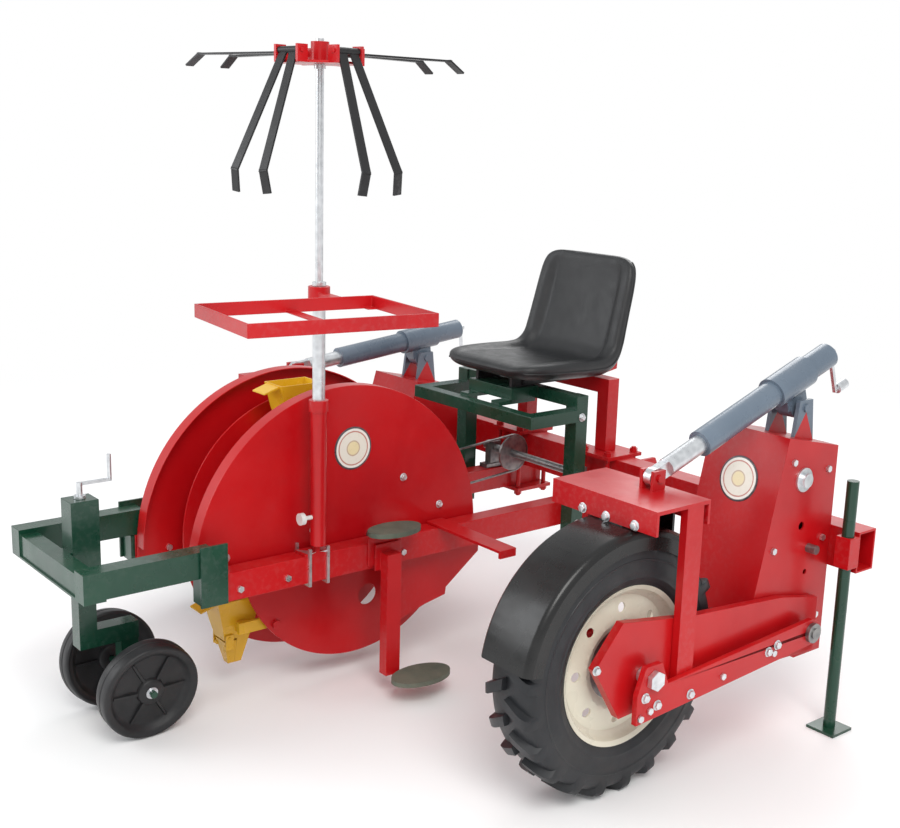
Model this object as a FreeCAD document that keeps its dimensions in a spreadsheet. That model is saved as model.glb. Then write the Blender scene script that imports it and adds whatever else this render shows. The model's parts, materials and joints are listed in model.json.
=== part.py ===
import FreeCAD, Part
import os, math
import Sketcher
from FreeCAD import Vector as V, Placement, Rotation

# One-row transplanter with a drum of duckbill cups, for planting through film.
# Frame: +X across the machine to its right hand side, +Y forward (towards the
# tractor), +Z up. All lengths are in millimetres.

os.makedirs("parts", exist_ok=True)
doc = FreeCAD.newDocument("planter")
sheet = doc.addObject("Spreadsheet::Sheet", "Dims")
DIMS = [
    ("shift_along", -207.5), ("shift_side", -167.0),
    ("tyre_radius", 350), ("tyre_half", 82), ("wheel_along", 215), ("wheel_near", 1035), ("wheel_far", -680), ("axle_high", 348.35),
    ("rim_flange", 212), ("rim_barrel", 198),
    ("toolbar_rear", 1000), ("toolbar_depth", 80), ("toolbar_low", 470), ("toolbar_tall", 120), ("toolbar_wall", 6),
    ("toolbar_near", 1230), ("toolbar_far", -900),
    ("beam_inner", 190), ("beam_wide", 60), ("beam_low", 390), ("beam_tall", 80), ("beam_wall", 4),
    ("beam_rear", -500), ("beam_front", 1110),
    ("drum_high", 467), ("pivot_circle", 378), ("disc_radius", 402), ("ring_offset", 88), ("cup_angle", 11),
    ("disc_gauge", 6), ("main_disc_side", -85), ("ring_disc_side", 88),
    ("guard_radius", 490), ("guard_high", 440), ("guard_along", -10), ("guard_gauge", 4), ("guard_side", 176), ("guard_flange", 44),
    ("cup_top", 80), ("cup_tip", -126), ("cup_pin_radius", 8), ("jaw_pin_radius", 4),
    ("fork_pivot_along", 857), ("fork_pivot_high", 320), ("pivot_shaft_radius", 15),
    ("arm_gauge", 16), ("crosshead_high", 765),
    ("casing_gauge", 5), ("jack_tube_radius", 36), ("jack_rod_radius", 25), ("trunnion_radius", 12), ("clevis_pin_radius", 10),
    ("stand_radius", 17), ("cross_shaft_radius", 13), ("cross_shaft_along", 900), ("cross_shaft_high", 540),
    ("mast_side", 250), ("mast_along", -150), ("mast_tube_radius", 17.5), ("mast_rod_radius", 10.5),
    ("hub_high", 1840), ("rack_high", 1190), ("rack_span", 492),
    ("press_radius", 140), ("press_half", 32), ("press_camber", 8), ("press_side", 128), ("press_along", -620),
    ("lower_pin_radius", 11), ("upper_pin_radius", 9.65), ("running_fit", 0.05),
]
for i, (k, v) in enumerate(DIMS):
    sheet.set("A%d" % (i + 1), k)
    sheet.set("B%d" % (i + 1), str(v))
    sheet.setAlias("B%d" % (i + 1), k)
doc.recompute()


def D(k):
    return float(sheet.get(k))


FIT = D("running_fit")
SHIFT = Placement(V(D("shift_side"), D("shift_along"), 0), Rotation())
X, Y, Z = V(1, 0, 0), V(0, 1, 0), V(0, 0, 1)
NODES = []
count = [0]


def uid(p):
    count[0] += 1
    return "%s%03d" % (p, count[0])


def node(name, obj):
    """Give a finished sub-part its label and its place in the machine."""
    obj.Label = name
    obj.Placement = SHIFT.multiply(obj.Placement)
    NODES.append((name, obj))
    return obj


def bind(obj, ex):
    for k, e in (ex or {}).items():
        obj.setExpression(k, e)


def bx(x0, x1, y0, y1, z0, z1, ex=None):
    b = doc.addObject("Part::Box", uid("Box"))
    b.Length, b.Width, b.Height = abs(x1 - x0), abs(y1 - y0), abs(z1 - z0)
    b.Placement = Placement(V(min(x0, x1), min(y0, y1), min(z0, z1)), Rotation())
    bind(b, ex)
    return b


def cyl(p, d, r, length, ex=None):
    c = doc.addObject("Part::Cylinder", uid("Cyl"))
    c.Radius, c.Height = r, length
    c.Placement = Placement(V(*p), Rotation(Z, V(*d)))
    bind(c, ex)
    return c


def cylx(x0, x1, y, z, r, ex=None):
    return cyl((min(x0, x1), y, z), (1, 0, 0), r, abs(x1 - x0), ex)


def hexx(x0, x1, y, z, flat):
    """Nut or bolt head with its axis along X."""
    p = doc.addObject("Part::Prism", uid("Hex"))
    p.Polygon, p.Circumradius, p.Height = 6, flat / 2 / math.cos(math.pi / 6), abs(x1 - x0)
    p.Placement = Placement(V(min(x0, x1), y, z), Rotation(Z, X))
    return p


def hexz(x, y, z0, z1, flat):
    p = doc.addObject("Part::Prism", uid("Hex"))
    p.Polygon, p.Circumradius, p.Height = 6, flat / 2 / math.cos(math.pi / 6), abs(z1 - z0)
    p.Placement = Placement(V(x, y, min(z0, z1)), Rotation())
    return p


def tilt(obj, axis, deg, about):
    """Turn a primitive about a line through a point."""
    r = Placement(V(0, 0, 0), Rotation(V(*axis), deg), V(*about))
    obj.Placement = r.multiply(obj.Placement)
    return obj


def fuse(objs):
    f = doc.addObject("Part::MultiFuse", uid("Fuse"))
    f.Shapes = objs
    f.Refine = True
    return f


def cut(base, tools):
    c = doc.addObject("Part::Cut", uid("Cut"))
    c.Base = base
    c.Tool = tools[0] if len(tools) == 1 else fuse(tools)
    c.Refine = True
    return c


def group(objs):
    """Separate identical or welded-side-by-side solids kept in one node."""
    g = doc.addObject("Part::Compound", uid("Group"))
    g.Links = objs
    return g


def body():
    return doc.addObject("PartDesign::Body", uid("Body"))


def plane(b, role):
    for o in b.Origin.OriginFeatures:
        if o.Role == role:
            return o


def sketch(b, role, base=(0, 0, 0), ex=None):
    s = b.newObject("Sketcher::SketchObject", uid("Sketch"))
    s.AttachmentSupport = [(plane(b, role), "")]
    s.MapMode = "FlatFace"
    s.AttachmentOffset = Placement(V(*base), Rotation())
    bind(s, ex)
    return s


def poly(s, pts):
    n, first = len(pts), s.GeometryCount
    for i in range(n):
        a, c = pts[i], pts[(i + 1) % n]
        s.addGeometry(Part.LineSegment(V(a[0], a[1], 0), V(c[0], c[1], 0)), False)
    for i in range(n):
        s.addConstraint(Sketcher.Constraint("Coincident", first + i, 2, first + (i + 1) % n, 1))


def ring(s, c, r, ex=None):
    i = s.addGeometry(Part.Circle(V(c[0], c[1], 0), V(0, 0, 1), r), False)
    if ex:
        j = s.addConstraint(Sketcher.Constraint("Radius", i, r))
        s.setExpression("Constraints[%d]" % j, ex)


def pad(b, s, length, ex=None, back=False):
    p = b.newObject("PartDesign::Pad", uid("Pad"))
    p.Profile = s
    p.Length = length
    p.Reversed = back
    bind(p, {"Length": ex} if ex else None)
    return p


def pocket(b, s, length, back=False, through=False):
    p = b.newObject("PartDesign::Pocket", uid("Pocket"))
    p.Profile = s
    p.Length = length
    p.Reversed = back
    if through:
        p.Type = "ThroughAll"
        p.Midplane = True
    return p


def plate_yz(x0, x1, outline, holes=(), ex=None):
    """Plate cut to an outline in the YZ plane, with round holes (y, z, r[, expression])."""
    b = body()
    s = sketch(b, "YZ_Plane", (0, 0, min(x0, x1)))
    poly(s, outline)
    for h in holes:
        ring(s, h[:2], h[2], h[3] if len(h) > 3 else None)
    pad(b, s, abs(x1 - x0), ex)
    return b


def revolve_x(profile, y, z):
    """Turned body about a line along X through (y, z); profile points are (x, radius)."""
    b = body()
    s = sketch(b, "XZ_Plane", (0, z, -y))
    poly(s, profile)
    r = b.newObject("PartDesign::Revolution", uid("Rev"))
    r.Profile = s
    r.ReferenceAxis = (s, ["H_Axis"])
    r.Angle = 360
    return b, s, r


# ------------------------------------------------------------------ main frame
tb_y0, tb_y1 = D("toolbar_rear"), D("toolbar_rear") + D("toolbar_depth")
tb_z0, tb_z1 = D("toolbar_low"), D("toolbar_low") + D("toolbar_tall")
w = D("toolbar_wall")
b = body()
s = sketch(b, "YZ_Plane", (0, 0, D("toolbar_far")), {"AttachmentOffset.Base.z": "Dims.toolbar_far"})
poly(s, [(tb_y0, tb_z0), (tb_y1, tb_z0), (tb_y1, tb_z1), (tb_y0, tb_z1)])
poly(s, [(tb_y0 + w, tb_z0 + w), (tb_y1 - w, tb_z0 + w), (tb_y1 - w, tb_z1 - w), (tb_y0 + w, tb_z1 - w)])
pad(b, s, D("toolbar_near") - D("toolbar_far"), "Dims.toolbar_near - Dims.toolbar_far")
node("toolbar", b)

bz0, bz1 = D("beam_low"), D("beam_low") + D("beam_tall")
bi, bo = D("beam_inner"), D("beam_inner") + D("beam_wide")
beams = []
for side, nm in ((1, "near"), (-1, "far")):
    b = body()
    s = sketch(b, "XZ_Plane", (0, 0, -D("beam_rear")), {"AttachmentOffset.Base.z": "-Dims.beam_rear"})
    xs = sorted((side * bi, side * bo))
    t = D("beam_wall")
    poly(s, [(xs[0], bz0), (xs[1], bz0), (xs[1], bz1), (xs[0], bz1)])
    poly(s, [(xs[0] + t, bz0 + t), (xs[1] - t, bz0 + t), (xs[1] - t, bz1 - t), (xs[0] + t, bz1 - t)])
    pad(b, s, D("beam_front") - D("beam_rear"), "Dims.beam_front - Dims.beam_rear", back=True)
    beams.append(b)
node("side_beams", group(beams))

plates, bolts = [], []
for side in (1, -1):
    xc = side * (bi + bo) / 2
    plates += [bx(xc - 75, xc + 75, 960, 1120, tb_z1, tb_z1 + 12), bx(xc - 75, xc + 75, 960, 1120, bz0 - 12, bz0)]
    for px in (-55, 55):
        for py in (978, 1102):
            rod = cyl((xc + px, py, bz0 - 30), (0, 0, 1), 8, tb_z1 + 30 - bz0 + 30)
            bolts.append(fuse([rod, hexz(xc + px, py, tb_z1 + 12, tb_z1 + 25, 24), hexz(xc + px, py, bz0 - 25, bz0 - 12, 24)]))
holes = [cyl((side * (bi + bo) / 2 + px, py, bz0 - 40), (0, 0, 1), 8.0, 300) for side in (1, -1) for px in (-55, 55) for py in (978, 1102)]
node("beam_clamps", group([cut(group(plates), holes)] + bolts))

# Three-point linkage: two lower brackets with pins, and the upper link mast
brackets = []
for side in (1, -1):
    a = plate_yz(side * 330, side * 342, [(1080, 400), (1195, 400), (1195, 480), (1140, 590), (1080, 590)], [(1160, 440, 10, "Dims.lower_pin_radius - 1")])
    brackets.append(a)
# sleeves for the parking stands, on the back of the toolbar
SR = D("stand_radius")
STANDS = [(D("toolbar_near") - 20, 974, 740), (D("toolbar_far") + 24, 974, 600)]
for sx, sy, sz in STANDS:
    brackets.append(cut(bx(sx - 24, sx + 24, sy - 22, tb_y0, tb_z0 + 20, tb_z1 - 10), [cyl((sx, sy, 400), (0, 0, 1), SR + FIT, 250)]))
node("toolbar_brackets", group(brackets))
pins = []
for side in (1, -1):
    pr_, pe_ = (11, "Dims.lower_pin_radius") if side > 0 else (10.9, "Dims.lower_pin_radius - 0.1")
    p = fuse([cylx(side * 348, side * 436, 1160, 440, pr_, {"Radius": pe_}), cylx(side * 320, side * 349, 1160, 440, 10, {"Radius": "Dims.lower_pin_radius - 1"}),
              cylx(side * 342, side * 347, 1160, 440, 17), hexx(side * 318, side * 330, 1160, 440, 32)])
    pins.append(cut(p, [cyl((side * 424, 1160, 420), (0, 0, 1), 5.5, 40)]))
node("lower_link_pins", group(pins))
mast = [bx(side * 175, side * 225, 1015, 1065, tb_z1 + 12, 800) for side in (1, -1)]
mast.append(bx(-225, 225, 1015, 1065, 800, 850))
ears = [plate_yz(side * 25, side * 35, [(1065, 802), (1250, 835), (1255, 905), (1195, 905), (1168, 849), (1065, 848)], [(1222, 876, 9.65, "Dims.upper_pin_radius")]) for side in (1, -1)]
node("headstock", fuse(mast + ears))

# ------------------------------------------------------------------ guards
guards, shields = [], []
gr, gz, gy, gg, gs = D("guard_radius"), D("guard_high"), D("guard_along"), D("guard_gauge"), D("guard_side")
for side, nm in ((1, "near"), (-1, "far")):
    b = body()
    s = sketch(b, "YZ_Plane", (0, 0, min(side * gs, side * (gs + gg))))
    i0 = s.addGeometry(Part.ArcOfCircle(Part.Circle(V(gy, gz, 0), V(0, 0, 1), gr), 0, math.pi), False)
    pts = [(gy - gr, gz), (gy - gr, 400), (gy + gr, 400), (gy + gr, gz)]
    for k in range(3):
        s.addGeometry(Part.LineSegment(V(pts[k][0], pts[k][1], 0), V(pts[k + 1][0], pts[k + 1][1], 0)), False)
    s.addConstraint(Sketcher.Constraint("Coincident", i0, 2, 1, 1))
    s.addConstraint(Sketcher.Constraint("Coincident", 1, 2, 2, 1))
    s.addConstraint(Sketcher.Constraint("Coincident", 2, 2, 3, 1))
    s.addConstraint(Sketcher.Constraint("Coincident", 3, 2, i0, 1))
    if side > 0:
        ring(s, (D("ring_offset"), D("drum_high")), 20 + FIT * 0, None)
    else:
        ring(s, (0, D("drum_high")), 21, None)
    pad(b, s, gg, "Dims.guard_gauge")
    # inturned rim
    s2 = sketch(b, "YZ_Plane", (0, 0, min(side * (gs + gg), side * (gs + gg - D("guard_flange")))))
    g0 = s2.GeometryCount
    s2.addGeometry(Part.ArcOfCircle(Part.Circle(V(gy, gz, 0), V(0, 0, 1), gr), 0, math.pi), False)
    s2.addGeometry(Part.LineSegment(V(gy - gr, gz, 0), V(gy - gr + gg, gz, 0)), False)
    s2.addGeometry(Part.ArcOfCircle(Part.Circle(V(gy, gz, 0), V(0, 0, 1), gr - gg), 0, math.pi), False)
    s2.addGeometry(Part.LineSegment(V(gy + gr - gg, gz, 0), V(gy + gr, gz, 0)), False)
    s2.addConstraint(Sketcher.Constraint("Coincident", 0, 2, 1, 1))
    s2.addConstraint(Sketcher.Constraint("Coincident", 1, 2, 2, 2))
    s2.addConstraint(Sketcher.Constraint("Coincident", 2, 1, 3, 1))
    s2.addConstraint(Sketcher.Constraint("Coincident", 3, 2, 0, 1))
    pad(b, s2, D("guard_flange"), "Dims.guard_flange")
    guards.append(b)
    sh = plate_yz(side * (gs + gg), side * (bi - 0), [(175, 398), (188, 175), (284, 205), (364, 221), (367, 244), (495, 340), (495, 398)])
    shields.append(sh)
node("drum_guards", group(guards))
node("lower_shields", group(shields))
bolts = []
for side in (1, -1):
    for (y, z) in ((-400, 420), (-250, 420), (150, 420), (420, 420)):
        bolts.append(fuse([cylx(side * (gs - 6), side * (bo + 4), y, z, 5), hexx(side * (bo), side * (bo + 7), y, z, 17), hexx(side * (gs - 7), side * gs, y, z, 17)]))
casings, covers, chains, BOLTS = [], [], [], bolts


# ------------------------------------------------------------------ wheel units
def unit(nm, s, xw, tr_z, top):
    """One wheel unit: s is its outward direction, xw its wheel plane."""
    wy, wz, R = D("wheel_along"), D("axle_high"), D("tyre_radius")

    def x(d):
        return xw + s * d

    # tyre: hollow carcass with chevron lugs
    prof = [(-60, 206), (-76, 226), (-82, 262), (-80, 296), (-68, 322), (-36, 334), (36, 334), (68, 322), (80, 296), (82, 262), (76, 226), (60, 206),
            (52, 206), (66, 232), (70, 264), (68, 290), (58, 306), (30, 316), (-30, 316), (-58, 306), (-68, 290), (-70, 264), (-66, 232), (-52, 206)]
    b, sk, rev = revolve_x([(xw + px, pr) for px, pr in prof], wy, wz)
    lug = sketch(b, "XY_Plane", (0, 0, wz + 322), None)
    poly(lug, [(xw - 4, wy + 10), (xw - 4, wy - 16), (xw - 76, wy - 46), (xw - 76, wy - 20)])
    p1 = pad(b, lug, R - 325, "Dims.tyre_radius - 325")
    lug2 = sketch(b, "XY_Plane", (0, 0, wz + 322), None)
    step = 2 * math.pi * 336 / 22 / 2
    poly(lug2, [(xw + 4, wy + 10 + step), (xw + 4, wy - 16 + step), (xw + 76, wy - 46 + step), (xw + 76, wy - 20 + step)])
    p2 = pad(b, lug2, R - 326, "Dims.tyre_radius - 326")
    pat = b.newObject("PartDesign::PolarPattern", uid("Pattern"))
    pat.Originals = [p1, p2]
    pat.Axis = (sk, ["H_Axis"])
    pat.Angle = 360
    pat.Occurrences = 22
    b.Tip = pat
    node(nm + "_tyre", b)
    # rim: barrel with flanges and a dished centre on the outward side
    f, k = D("rim_flange"), D("rim_barrel")
    prof = [(-70, f), (-64, f), (-58, 204), (-44, 204), (-38, k), (38, k), (44, 204), (58, 204), (64, f), (70, f),
            (64, 200), (50, 194), (40, 180), (52, 120), (40, 96), (40, 32), (34, 32), (34, 98), (46, 120), (34, 182), (28, 192), (-64, 200)]
    prof = [(px * s + xw, pr) for px, pr in prof]
    b, sk, rev = revolve_x(prof, wy, wz)
    hs = sketch(b, "YZ_Plane", (0, 0, min(x(20), x(70))))
    ring(hs, (wy, wz + 150), 13)
    pk = pocket(b, hs, 60, back=True)
    pat = b.newObject("PartDesign::PolarPattern", uid("Pattern"))
    pat.Originals = [pk]
    pat.Axis = (sk, ["H_Axis"])
    pat.Angle = 360
    pat.Occurrences = 8
    b.Tip = pat
    rim = b
    # hub: flange bolted to the rim, barrel running on the fixed axle
    hub = fuse([cylx(x(-50), x(100), wy, wz, 31), cylx(x(26), x(34), wy, wz, 75)]
               + [fuse([cylx(x(34), x(52), wy + 56 * math.cos(q), wz + 56 * math.sin(q), 6), hexx(x(40), x(50), wy + 56 * math.cos(q), wz + 56 * math.sin(q), 19)])
                  for q in [math.radians(36 + 72 * i) for i in range(5)]])

    if nm == "near":
        hub = fuse([hub, cylx(x(100), x(111), wy, wz, 31), cylx(x(111), x(117), wy, wz, 62)])
    hub = cut(hub, [cylx(x(-60), x(130), wy, wz, 20 + FIT)])
    node(nm + "_rim", group([rim, hub]))
    axle = fuse([cylx(x(-200), x(170), wy, wz, 20), hexx(x(-214), x(-190), wy, wz, 46), hexx(x(166), x(182), wy, wz, 46)])
    # fork: two arms, two posts and a crosshead over the tyre
    py, pz, g = D("fork_pivot_along"), D("fork_pivot_high"), D("arm_gauge")
    arm = [(160, 238), (160, 316), (186, 386), (244, 386), (270, 324), (py, 358), (py + 30, 344), (py + 38, 320), (py + 30, 296), (py, 282)]
    arms = []
    for d0 in (150, -190):
        arms.append(plate_yz(x(d0), x(d0 + g), arm, [(wy, wz, 20.0), (py, pz, 15.05, "Dims.pivot_shaft_radius + Dims.running_fit")], "Dims.arm_gauge"))
    ch = D("crosshead_high")
    posts = ([bx(x(128), x(150), 318, 378, 300, ch), bx(x(-212), x(-190), 318, 378, 300, ch)])
    head = fuse([bx(x(-212), x(152), 205, 400, ch, ch + 10), bx(x(-212), x(152), 205, 213, 712, ch), bx(x(-212), x(152), 392, 400, 712, ch)])
    # guard over the wheel chain, hollow, closed all round
    outl = [(48, 398), (138, 500), (380, 462), (760, 430), (932, 396), (932, 238), (760, 246), (380, 260), (140, 248)]
    inl = [(54, 396), (141, 494), (380, 456), (759, 424), (926, 391), (926, 244), (760, 252), (380, 266), (143, 254)]
    if nm == "near":
        shell = cut(plate_yz(x(102), x(126), outl), [plate_yz(x(105), x(123), inl), cylx(x(98), x(106), wy, wz, 32), cylx(x(120), x(130), wy, wz, 20.0), cylx(x(90), x(150), py, pz, 15 + 0.5)])
        node("chain_guard", shell)
        node("wheel_chain", loop(x(110.5), x(117.5), (wy, wz), (py, pz), 63.5, 68.5))
    # mudguard: a moulded band close over the tread, open underneath, hung from the crosshead skirts
    mo = [(-88, 306), (-88, 340), (-84, 352), (-72, 361), (72, 361), (84, 352), (88, 340), (88, 306),
          (84, 306), (84, 338), (80.5, 349), (71, 357), (-71, 357), (-80.5, 349), (-84, 338), (-84, 306)]
    band, _s, _r = revolve_x([(xw + px, pr) for px, pr in mo], wy, wz)
    far_, a0, a1 = 900, math.radians(10), math.radians(125)
    wedge = [(wy, wz), (wy - far_ * math.cos(a0), wz + far_ * math.sin(a0)), (wy - far_, wz - far_), (wy + far_, wz - far_), (wy - far_ * math.cos(a1), wz + far_ * math.sin(a1))]
    guard = cut(band, [plate_yz(xw - 120, xw + 120, wedge)])
    guard = fuse([guard, bx(x(-40), x(40), 205, 213, 705, 712), bx(x(-40), x(40), 392, 400, 657, 712)])
    # clevis on the crosshead
    qy, qz = 350, 806
    cw = [bx(x(-24), x(-14), qy - 22, qy + 22, ch + 10, qz + 20), bx(x(14), x(24), qy - 22, qy + 22, ch + 10, qz + 20)]
    cw = cut(fuse(cw), [cylx(x(-40), x(40), qy, qz, 10.0)])
    head = fuse([head, cw, cylx(x(-30), x(30), qy, qz, 10, {"Radius": "Dims.clevis_pin_radius"})] + posts)
    nuts = [hexx(x(166), x(174), yy, zz, 17) for yy, zz in ((480, 288), (690, 300), (205, 268), (172, 256))]
    if nm == "near":
        node("near_fork_arms", group(arms))
        node("near_crosshead", head)
        node("near_axle", group([axle] + nuts))
        node("near_mudguard", guard)
    else:
        node("far_fork", group(arms + [head, axle, guard] + nuts))
    # jack, tilted from the clevis to the trunnion on the casing
    ty, tz, off = 905, tr_z, 70
    L = math.hypot(ty - qy, tz - qz)
    al = math.atan2(tz - qz, ty - qy) + math.asin(off / L)
    u, n = (math.cos(al), math.sin(al)), (-math.sin(al), math.cos(al))
    P = lambda t, h=0: (x(0), qy + t * u[0] + h * n[0], qz + t * u[1] + h * n[1])
    dv = (0, u[0], u[1])
    tt = math.sqrt(L * L - off * off)
    tube = fuse([cyl(P(185), dv, 36, 560, {"Radius": "Dims.jack_tube_radius"}), cyl(P(tt - 75), dv, 44, 150),
                 cyl((x(-25), ty, tz), (s, 0, 0), 34, 50) if s > 0 else cyl((x(-25), ty, tz), (s, 0, 0), 34, 50)])
    web = bx(x(-22), x(22), ty - 42, ty + 42, tz, tz + 60)
    web = tilt(web, (1, 0, 0), math.degrees(al), (x(0), ty, tz))
    tube = fuse([tube, web])
    jack = cut(tube, [cyl(P(150), dv, 25 + FIT, 575), cyl(P(700), dv, 9 + FIT, 80), cylx(x(-40), x(40), ty, tz, 12 + FIT)])
    node(nm + "_jack_body", jack)
    tongue = tilt(bx(x(-12), x(12), qy, qy + 80, qz - 20, qz + 20), (1, 0, 0), math.degrees(al), (x(0), qy, qz))
    rod = fuse([cyl(P(52), dv, 25, 448, {"Radius": "Dims.jack_rod_radius"}), cyl((x(-12), qy, qz), (s, 0, 0), 23, 24), tongue])
    rod = cut(rod, [cyl((x(-20), qy, qz), (s, 0, 0), 12.5, 40)])
    node(nm + "_jack_rod", rod)
    cr = fuse([cyl(P(728), dv, 9, 47), tilt(bx(x(-5), x(5), P(760)[1] - 5, P(760)[1] + 5, P(760)[2] - 125, P(760)[2] + 12), (1, 0, 0), math.degrees(al) - 0, P(760)),
               cyl((x(0), P(760)[1] + 118 * math.sin(al), P(760)[2] - 118 * math.cos(al)), dv, 6, 52)])
    kb = cut(cyl((x(0), P(760)[1] + 118 * math.sin(al) + 8 * u[0], P(760)[2] - 118 * math.cos(al) + 8 * u[1]), dv, 15, 40),
             [cyl((x(0), P(760)[1] + 118 * math.sin(al), P(760)[2] - 118 * math.cos(al)), dv, 6.0, 80)])
    node(nm + "_crank", group([cr, kb]))
    # casing, a sheet box on the back of the toolbar, with trunnion ears on top
    t = D("casing_gauge")
    dz = top - 870
    out = [(650, 330), (775, 870 + dz), (1000, 822 + dz), (1000, 215), (880, 215)]
    inn = [(657, 332), (779, 864 + dz), (995, 818 + dz), (995, 220), (882, 220)]
    shell = cut(plate_yz(x(-165), x(95), out), [plate_yz(x(-160), x(100), inn)] + [cylx(x(-170), x(-150), py, pz, 15 + FIT)]
                + ([cylx(x(-170), x(-150), D("cross_shaft_along"), D("cross_shaft_high"), 13 + FIT)] if nm == "near" else []))
    casings.append(shell)
    cover = plate_yz(x(95), x(100), out, [(py, pz, 15 + FIT)] + ([(900, 540, 13 + FIT), (860, 610, 12), (895, 470, 8)] if nm == "near" else []))
    covers.append(cover)
    zt = (870 + 822) / 2 + dz
    ears = []
    for d0 in (-50, 38):
        e = plate_yz(x(d0), x(d0 + 12), [(862, 851.5 + dz), (948, 833.1 + dz), (934, tz + 22), (876, tz + 22)], [(ty, tz, 12.0)])
        ears.append(e)
    casings.append(fuse(ears + [cylx(x(-56), x(56), ty, tz, 12, {"Radius": "Dims.trunnion_radius"})]))
    cap = [fuse([cylx(x(100), x(106), 850, 745 + dz, 34), cylx(x(106), x(118), 850, 745 + dz, 20)])]
    for (yy, zz) in ((800, 800 + dz), (960, 760 + dz), (960, 560), (960, 330), (740, 560)):
        cap.append(hexx(x(100), x(108), yy, zz, 17))
    BOLTS.extend(cap)
    # shaft through both arms and the casing: the fork swings on it and it carries the drive
    if nm == "near":
        ps = fuse([cylx(x(-204), x(182), py, pz, 15, {"Radius": "Dims.pivot_shaft_radius"}), cylx(x(111), x(117), py, pz, 62), cylx(x(-40), x(-32), py, pz, 62)])
        node("near_pivot_shaft", fuse([ps, cylx(x(166.4), x(178), py, pz, 28), cylx(x(-203), x(-190.4), py, pz, 28)]))
        chains.append(loop(x(-40.5), x(-31.5), (py, pz), (D("cross_shaft_along"), D("cross_shaft_high")), 63.5, 68.5))
    else:
        BOLTS.append(fuse([cylx(x(-204), x(182), py, pz, 15, {"Radius": "Dims.pivot_shaft_radius"}), cylx(x(166.4), x(178), py, pz, 28), cylx(x(-203), x(-190.4), py, pz, 28)]))
    return u


def loop(x0, x1, a, c, r0, r1):
    """Chain as a plain closed band round two equal sprockets."""
    dy, dz = c[0] - a[0], c[1] - a[1]
    L = math.hypot(dy, dz)
    ang = math.degrees(math.atan2(dz, dy))

    def slot(r, e):
        f = fuse([cylx(x0 - e, x1 + e, a[0], a[1], r), cylx(x0 - e, x1 + e, c[0], c[1], r),
                  tilt(bx(min(x0, x1) - e, max(x0, x1) + e, a[0], a[0] + L, a[1] - r, a[1] + r), (1, 0, 0), ang, (0, a[0], a[1]))])
        return f
    if x0 > x1:
        x0, x1 = x1, x0
    return cut(slot(r1, 0), [slot(r0, 1)])


unit("near", 1, D("wheel_near"), 930, 870)
unit("far", -1, D("wheel_far"), 800, 740)
node("drive_casings", group(casings + covers))
node("frame_bolts", group(BOLTS))

# ------------------------------------------------------------------ drive to the drum
ca, chh = D("cross_shaft_along"), D("cross_shaft_high")
cs = fuse([cylx(-262, 1035 + 130, ca, chh, 13, {"Radius": "Dims.cross_shaft_radius"}), cylx(1035 - 40, 1035 - 32, ca, chh, 62), cylx(-119, -111, ca, chh, 62)])
node("cross_shaft", cs)
blocks = []
for side in (1, -1):
    blk = cut(fuse([bx(side * 200, side * 240, ca - 45, ca + 45, bz1, bz1 + 14), bx(side * 205, side * 235, ca - 24, ca + 24, bz1, chh + 24)]), [cylx(side * 190, side * 250, ca, chh, 13 + FIT)])
    blocks.append(blk)
dh = D("drum_high")
chains.append(loop(-119.5, -110.5, (0, dh), (ca, chh), 63.5, 68.5))
node("drive_chains", group(chains))

# ------------------------------------------------------------------ drum
pc, ro, th = D("pivot_circle"), D("ring_offset"), D("cup_angle")
angs = [math.radians(th + 120 * i) for i in range(3)]
pv = [(-pc * math.sin(q), dh + pc * math.cos(q)) for q in angs]


def disc(xd, yc, hub_r, back=False):
    b = body()
    s = sketch(b, "YZ_Plane", (0, 0, xd))
    ring(s, (yc, dh), D("disc_radius"), "Dims.disc_radius")
    ring(s, (yc, dh), hub_r)
    pad(b, s, D("disc_gauge"), "Dims.disc_gauge")
    h = sketch(b, "YZ_Plane", (0, 0, xd))
    q = angs[0] + math.pi / 3
    ring(h, (yc - 230 * math.sin(q), dh + 230 * math.cos(q)), 34)
    pk = pocket(b, h, D("disc_gauge") + 1, back=True)
    ax = sketch(b, "YZ_Plane", (yc, dh, xd - 1))
    ring(ax, (0, 0), 1.0)
    pat = b.newObject("PartDesign::PolarPattern", uid("Pattern"))
    pat.Originals = [pk]
    pat.Axis = (ax, ["N_Axis"])
    pat.Angle = 360
    pat.Occurrences = 3
    b.Tip = pat
    return b


node("drum_disc", disc(D("main_disc_side"), 0, 16))
rdisc = disc(D("ring_disc_side"), ro, 26)
shaft = fuse([cylx(-188, -60, 0, dh, 16), cylx(-119, -111, 0, dh, 62), cylx(-104, -85, 0, dh, 60)])
node("drum_shaft", group([shaft] + [cylx(-79, 54, y, z, 8, {"Radius": "Dims.cup_pin_radius"}) for y, z in pv]))
blocks.append(cut(fuse([cylx(-176, -150, 0, dh, 45), cylx(-190, -176, 0, dh, 21)]), [cylx(-200, -140, 0, dh, 16 + FIT)]))
rhub = cut(fuse([cylx(94, 116, ro, dh, 44), cylx(88, 94, ro, dh, 26)]), [cylx(80, 130, ro, dh, 15 + FIT)])
blocks.append(fuse([cylx(84, 188, ro, dh, 15), cylx(118, 176, ro, dh, 24), cylx(180, 189, ro, dh, 24)]))
node("shaft_bearings", group(blocks))
node("ring_disc", group([rdisc, rhub] + [fuse([cylx(62, 88, y + ro, z, 8), hexx(94, 104, y + ro, z, 24)]) for y, z in pv]))


def loft(sections):
    ws = []
    for z, x0, x1, y0, y1 in sections:
        ws.append(Part.makePolygon([V(x0, y0, z), V(x1, y0, z), V(x1, y1, z), V(x0, y1, z), V(x0, y0, z)]))
    return Part.makeLoft(ws, True, True)


def feature(shape):
    f = doc.addObject("Part::Feature", uid("Shape"))
    f.Shape = shape
    return f


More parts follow.
